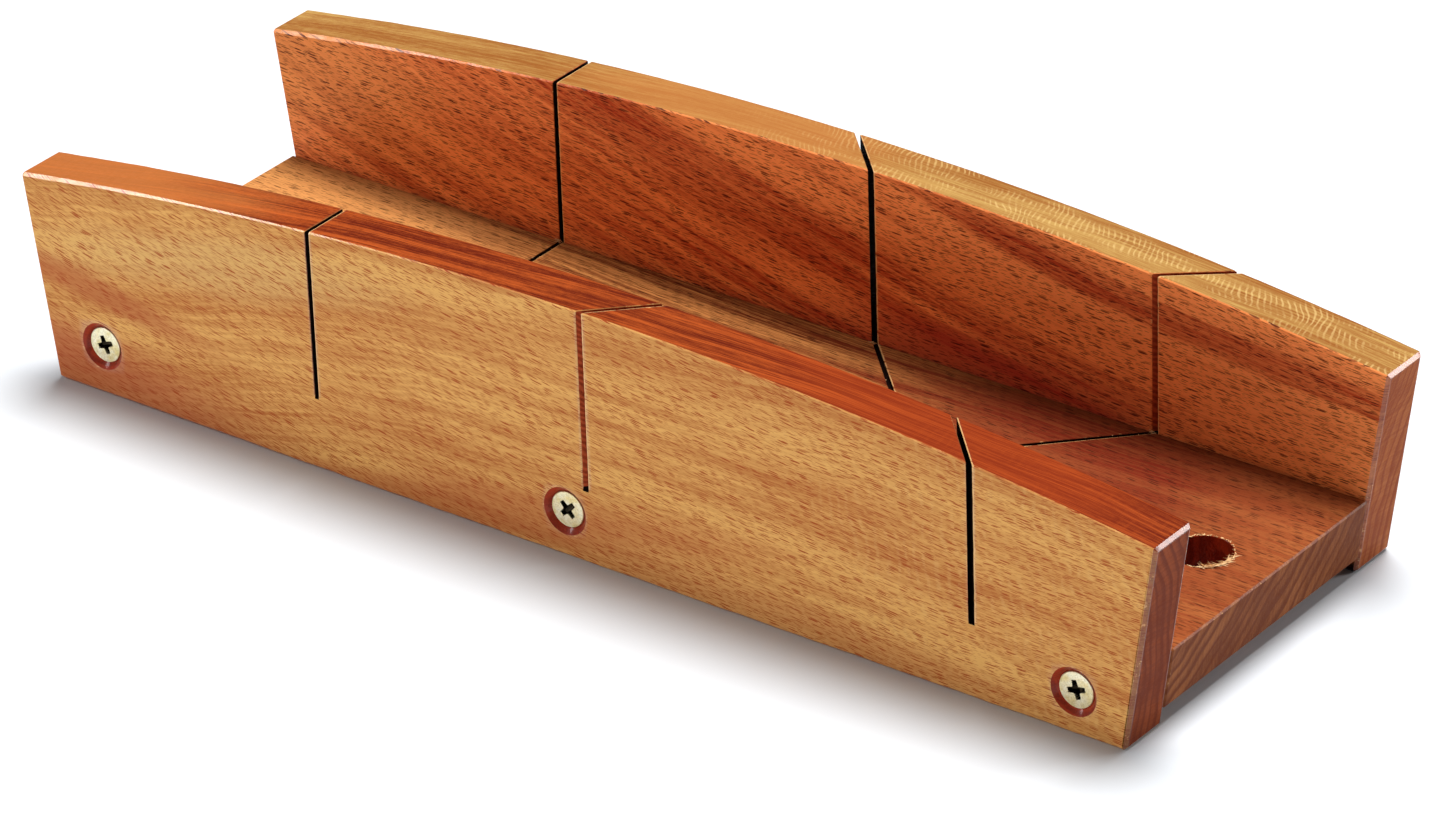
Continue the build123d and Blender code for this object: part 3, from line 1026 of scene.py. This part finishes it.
bedLook = dict(
    finish, edgeCoat=0.1, lies="flat", slope=0.03, curve=0.0, wave=5.0,
    figure=dict(Slope=-0.03, Curve=0.0002, Fan=0.0, Step=5.0, Sway=9.0, Seed=6.6),
    rings=dict(HeartY=-80.0, HeartZ=90.0, Tilt=0.03, Step=3.4, Sway=8.0),
    rays=dict(Length=5.2, Height=0.66, Size=0.24, Shift=0.7),
    faces=dict(
        front=dict(
            pale=(210, 142, 78), deep=(112, 44, 22), fleckColour=(60, 24, 14), fleck=0.85, fleckLow=0.35,
            bands=0.5, lines=0.6, thin=0.7, fine=0.35, cloud=0.2, hair=0.15, less=0.72,
            patches=[
                # painted light: the bed is made paler at its left end, standing in for light that the walls
                # shade off it
                dict(middle=(-125, 30, 18.5), turn=0, long=60, wide=30, colour=(216, 152, 88), strength=0.6),
                # painted shade: the bed is darkened along its middle stretch, where the front wall shades it
                dict(middle=(82, 0, 18.5), turn=0, long=70, wide=34, colour=(112, 34, 20), strength=0.85),
                dict(middle=(142, 0, 18.5), turn=0, long=34, wide=50, colour=(138, 68, 36), strength=0.75),
            ],
        ),
        end=dict(endGrain, pale=(176, 110, 62), deep=(112, 56, 30)),
    ),
)
materials = dict(
    front_wall=beech("beechFront", frontLook),
    back_wall=beech("beechBack", backLook),
    base_board=beech("beechBed", bedLook),
)
sawnWood, boredWood = rawWood("beechSawn", sawnLook), rawWood("beechBored", boredLook)
for nodeName, piece in pieces.items():
    for material in (materials[nodeName], sawnWood, boredWood):
        piece.data.materials.append(material)

tornLook = dict(
    pale=(250, 226, 180), deep=(214, 160, 100), lineZ=0.2, lineY=0.2, lineStep=1.3, lineTone=0.3,
    rough=0.6, bump=0.1, coat=0.0, gloss=0.1,
)
tornWood = rawWood("beechTorn", tornLook)
for piece in fibrePieces:
    piece.data.materials.append(tornWood)


def zinc(name, look):
    # yellow zinc plate: slow noise drifts from pale to warm, and finer noise lays dull, rougher spots on it
    material, w, shader, place, normal = startMaterial(name)
    cloud = w.step(w.noise(w.stretched(place, (0.5, 0.5, 0.5)), 3.0, 0.6), 0.3, 0.7)
    spots = w.step(w.noise(w.stretched(place, (3.0, 3.0, 3.0)), 2.0, 0.6), 0.4, 0.7)
    colour = w.mix(cloud, srgb(*look["pale"]), srgb(*look["warm"]))
    colour = w.mix(w.times(spots, 0.35), colour, srgb(*look["dull"]))
    rough = w.timesPlus(spots, 0.18, look["rough"])
    w.feed(shader, {"Base Color": colour, "Roughness": rough, "Metallic": look["metal"]})
    return material


screwLook = dict(pale=(250, 244, 214), warm=(232, 214, 150), dull=(170, 158, 122), rough=0.30, metal=0.85)
# the recess finish is painted shade: near-black zinc for the faces deep in the cross recess
recessShadeLook = dict(pale=(46, 38, 22), warm=(34, 26, 16), dull=(14, 11, 8), rough=0.35, metal=0.85)
screwZinc, screwRecess = zinc("screwZinc", screwLook), zinc("screwRecess", recessShadeLook)
for nodeName, piece in screws.items():
    piece.data.materials.append(screwZinc)
    piece.data.materials.append(screwRecess)
print("finishes wired")

camera = dict(
    azimuth=37.73,  # degrees round from the front, towards the right
    elevation=28.73, roll=-2.0, distance=1.5745, lens=183.3, target=(0.00645, -0.00305, 0.0164),
)


def direction(azimuth, elevation):
    # the way out from the middle, turned from the front towards the right by azimuth and lifted by elevation
    a, e = math.radians(azimuth), math.radians(elevation)
    return Vector((math.sin(a) * math.cos(e), -math.cos(a) * math.cos(e), math.sin(e)))


def makeCamera():
    # looks at the target from the given direction, then rolls about its own view line
    back = direction(camera["azimuth"], camera["elevation"])
    data = bpy.data.cameras.new("camera")
    data.lens = camera["lens"]
    data.clip_start, data.clip_end = 0.05, 30
    obj = bpy.data.objects.new("camera", data)
    bpy.context.collection.objects.link(obj)
    turn = back.to_track_quat("Z", "Y").to_matrix()
    roll = Matrix.Rotation(math.radians(camera["roll"]), 3, "Z")
    spot = Vector(camera["target"]) + back * camera["distance"]
    obj.matrix_world = Matrix.Translation(spot) @ (turn @ roll).to_4x4()
    bpy.context.scene.camera = obj


makeCamera()
bpy.context.scene.view_settings.view_transform = "Standard"

# floor half width in metres, its colour and roughness, and the light from all round
studio = dict(reach=6, floorColour=(0.66, 0.69, 0.72, 1), floorRough=0.9, worldLight=0.10)
floorMaterial = bpy.data.materials.new("studioFloor")
floorMaterial.use_nodes = True
floorShader = floorMaterial.node_tree.nodes["Principled BSDF"]
floorShader.inputs["Base Color"].default_value = studio["floorColour"]
floorShader.inputs["Roughness"].default_value = studio["floorRough"]
mesh = bpy.data.meshes.new("floor")
reach = studio["reach"]
mesh.from_pydata(
    [(-reach, -reach, 0), (reach, -reach, 0), (reach, reach, 0), (-reach, reach, 0)], [], [(0, 1, 2, 3)]
)
mesh.materials.append(floorMaterial)
floor = bpy.data.objects.new("floor", mesh)
bpy.context.collection.objects.link(floor)
floor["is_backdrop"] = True

world = bpy.data.worlds.new("studio")
bpy.context.scene.world = world
world.use_nodes = True
world.node_tree.nodes["Background"].inputs["Color"].default_value = (1, 1, 1, 1)
world.node_tree.nodes["Background"].inputs["Strength"].default_value = studio["worldLight"]


def aimed(name, kind, azimuth, elevation, distance):
    # a lamp on a sphere round the box, facing its middle
    back = direction(azimuth, elevation)
    data = bpy.data.lights.new(name, kind)
    obj = bpy.data.objects.new(name, data)
    bpy.context.collection.objects.link(obj)
    obj.matrix_world = Matrix.Translation(back * distance) @ back.to_track_quat("Z", "Y").to_matrix().to_4x4()
    return data


# softboxes: azimuth, elevation, distance, width and power
softboxes = dict(
    keyLeft=(-61, 33, 1.5, 0.30, 3.8),
    rimBack=(138.5, 22, 1.5, 0.34, 5.6),
    fillFront=(-14, 5, 1.9, 0.7, 14.5),
)
for name, (azimuth, elevation, distance, width, power) in softboxes.items():
    lamp = aimed(name, "AREA", azimuth, elevation, distance)
    lamp.size, lamp.energy = width, power
# a broad sun high over the back: azimuth, elevation and distance, then strength and width in degrees
overBack = dict(place=(182, 75, 2.0), strength=4.7, wide=28)
sun = aimed("overBack", "SUN", *overBack["place"])
sun.energy, sun.angle = overBack["strength"], math.radians(overBack["wide"])
print("camera and studio set")

low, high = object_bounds()
